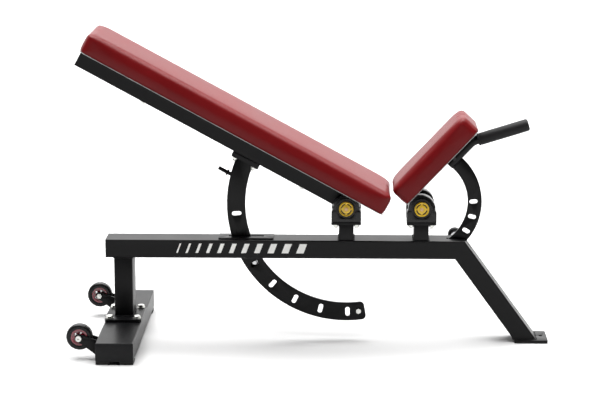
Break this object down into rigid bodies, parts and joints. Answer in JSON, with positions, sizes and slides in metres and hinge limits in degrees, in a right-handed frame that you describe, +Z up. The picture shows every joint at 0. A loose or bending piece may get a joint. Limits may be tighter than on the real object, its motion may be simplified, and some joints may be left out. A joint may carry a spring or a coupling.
{
  "type": "adjustable weight bench",
  "caption": "Adjustable weight bench: padded tilting back rest and seat on a steel floor frame, set by slotted arcs with sprung latch pins, with a carrying handle and rear wheels.",
  "frame": {"origin": "on the floor, under the middle of the frame's overall length and width", "axes": "+X along the bench towards the foot end with the seat and handle, +Y towards the user's left when lying on the back rest, +Z up"},
  "size_m": [1.29, 0.58, 0.8536],
  "materials": {
    "black_powder_coat": "satin powder coat",
    "cast_black": "black enamel on cast iron",
    "black_plastic": "moulded",
    "foot_rubber": "matte",
    "zinc_fasteners": "zinc plated",
    "ground_steel": "ground",
    "yellow_cap": "moulded",
    "wheel_tyre": "smooth",
    "red_hub": "gloss",
    "red_vinyl": "grained red vinyl, semi-gloss",
    "plywood": "black-stained underside",
    "grip_rubber": "matte"
  },
  "bodies": {
    "frame": {"main_rail": "black_powder_coat", "rail_end_cap": "black_plastic", "rail_slot_plate": "black_powder_coat", "rear_post": "black_powder_coat", "post_base_plate": "black_powder_coat", "cross_foot": "black_powder_coat", "foot_end_caps": "black_plastic", "base_bolts": "zinc_fasteners", "base_nuts": "zinc_fasteners", "rubber_feet": "foot_rubber", "front_leg": "black_powder_coat", "front_foot_plate": "black_powder_coat", "front_foot_pad": "foot_rubber", "pivot_posts": "black_powder_coat", "pivot_plates": "black_powder_coat", "bearing_blocks": "cast_black", "bearing_outer_rings": "ground_steel", "bearing_balls": "ground_steel", "bearing_caps": "yellow_cap", "block_bolts": "zinc_fasteners", "back_latch_bracket": "black_powder_coat", "back_latch_barrel": "ground_steel", "seat_latch_barrel": "ground_steel", "latch_springs": "ground_steel", "wheel_arms": "black_powder_coat", "wheel_axles": "zinc_fasteners", "wheel_nuts": "zinc_fasteners"},
    "backrest": {"back_beam": "black_powder_coat", "back_beam_caps": "black_plastic", "back_hub": "black_powder_coat", "back_shaft": "ground_steel", "back_inner_rings": "ground_steel", "arc_mount_plates": "black_powder_coat", "back_arc": "black_powder_coat", "arc_bolts": "zinc_fasteners", "arc_stop_bolt": "zinc_fasteners", "rest_stop_peg": "black_powder_coat", "back_pad_board": "plywood", "back_pad": "red_vinyl", "back_pad_bolts": "zinc_fasteners"},
    "seat": {"seat_beam": "black_powder_coat", "seat_hub": "black_powder_coat", "seat_shaft": "ground_steel", "seat_inner_rings": "ground_steel", "seat_arc": "black_powder_coat", "handle_tube": "black_powder_coat", "handle_grip": "grip_rubber", "handle_screw": "zinc_fasteners", "seat_pad_board": "plywood", "seat_pad": "red_vinyl", "seat_pad_bolts": "zinc_fasteners"},
    "back_latch": {"back_latch_pin": "ground_steel", "back_latch_knob": "black_plastic"},
    "seat_latch": {"seat_latch_pin": "ground_steel", "seat_latch_knob": "black_plastic"},
    "wheel_left": {"wheel_left_tyre": "wheel_tyre", "wheel_left_hub": "red_hub"},
    "wheel_right": {"wheel_right_tyre": "wheel_tyre", "wheel_right_hub": "red_hub"}
  },
  "joints": [
    {"name": "backrest_hinge", "type": "hinge", "parent": "frame", "child": "backrest", "pos_m": [0.09465, 0, 0.375], "axis": [0, 1, 0], "range_deg": [-28.6, 57.2]},
    {"name": "seat_hinge", "type": "hinge", "parent": "frame", "child": "seat", "pos_m": [0.29765, 0, 0.375], "axis": [0, 1, 0], "range_deg": [0, 51]},
    {"name": "back_latch_slide", "type": "slide", "parent": "frame", "child": "back_latch", "axis": [0, 1, 0], "range_m": [-0.012, 0.003], "stiffness_N_per_m": 300, "springref_m": -0.012},
    {"name": "seat_latch_slide", "type": "slide", "parent": "frame", "child": "seat_latch", "axis": [0, 1, 0], "range_m": [-0.012, 0.003], "stiffness_N_per_m": 300, "springref_m": -0.012},
    {"name": "wheel_left_spin", "type": "hinge", "parent": "frame", "child": "wheel_left", "pos_m": [-0.61, 0.227, 0.061], "axis": [0, 1, 0], "continuous": true},
    {"name": "wheel_right_spin", "type": "hinge", "parent": "frame", "child": "wheel_right", "pos_m": [-0.61, -0.227, 0.061], "axis": [0, 1, 0], "continuous": true}
  ]
}
